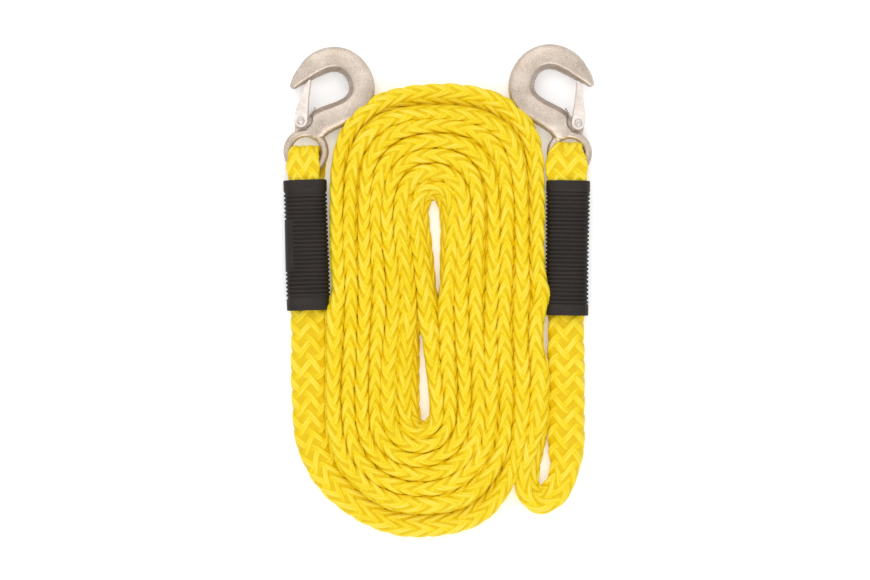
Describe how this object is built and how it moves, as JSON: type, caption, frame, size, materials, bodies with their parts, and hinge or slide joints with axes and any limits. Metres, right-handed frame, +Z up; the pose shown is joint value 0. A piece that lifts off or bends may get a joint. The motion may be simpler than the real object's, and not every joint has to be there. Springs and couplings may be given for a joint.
{
  "type": "vehicle tow rope",
  "caption": "Flat-wound braided tow rope with a spliced eye, a ribbed sleeve and a forged hook with a sprung safety latch at each end.",
  "frame": {"origin": "on the underside of the wound coil, in the middle of the whole rope's footprint as it lies on the floor", "axes": "+Z up from the floor; +Y from the coil towards the hooks; +X from the left hook to the right hook"},
  "size_m": [0.1984, 0.3147, 0.0175],
  "materials": {
    "rope": "satin",
    "forged_zinc": "satin",
    "latch_sheet": "satin",
    "rivet_steel": "satin",
    "spring_wire": "satin",
    "sleeve_rubber": "matte"
  },
  "bodies": {
    "rope": {"rope_coil": "rope", "left_sleeve": "sleeve_rubber", "left_eye_loop": "rope", "left_end_run": "rope", "left_spliced_tail": "rope", "right_sleeve": "sleeve_rubber", "right_eye_loop": "rope", "right_end_run": "rope", "right_spliced_tail": "rope"},
    "left_hook": {"left_hook_body": "forged_zinc", "left_latch_pin": "rivet_steel", "left_latch_spring": "spring_wire"},
    "left_latch": {"left_latch": "latch_sheet"},
    "right_hook": {"right_hook_body": "forged_zinc", "right_latch_pin": "rivet_steel", "right_latch_spring": "spring_wire"},
    "right_latch": {"right_latch": "latch_sheet"}
  },
  "joints": [
    {"name": "left_hook_swing", "type": "hinge", "parent": "rope", "child": "left_hook", "pos_m": [-0.0848, 0.0887, 0.0075], "axis": [0, 0, 1], "range_deg": [0, 75]},
    {"name": "right_hook_swing", "type": "hinge", "parent": "rope", "child": "right_hook", "pos_m": [0.0838, 0.0877, 0.0075], "axis": [0, 0, -1], "range_deg": [0, 75]},
    {"name": "left_latch_swing", "type": "hinge", "parent": "left_hook", "child": "left_latch", "pos_m": [-0.0879, 0.108, 0.0075], "axis": [0, 0, -1], "range_deg": [0, 29], "stiffness_Nm_per_rad": 0.012, "springref_deg": -28.65, "deforming": ["left_latch_spring"]},
    {"name": "right_latch_swing", "type": "hinge", "parent": "right_hook", "child": "right_latch", "pos_m": [0.08923, 0.10648, 0.0075], "axis": [0, 0, 1], "range_deg": [0, 29], "stiffness_Nm_per_rad": 0.012, "springref_deg": -28.65, "deforming": ["right_latch_spring"]}
  ]
}
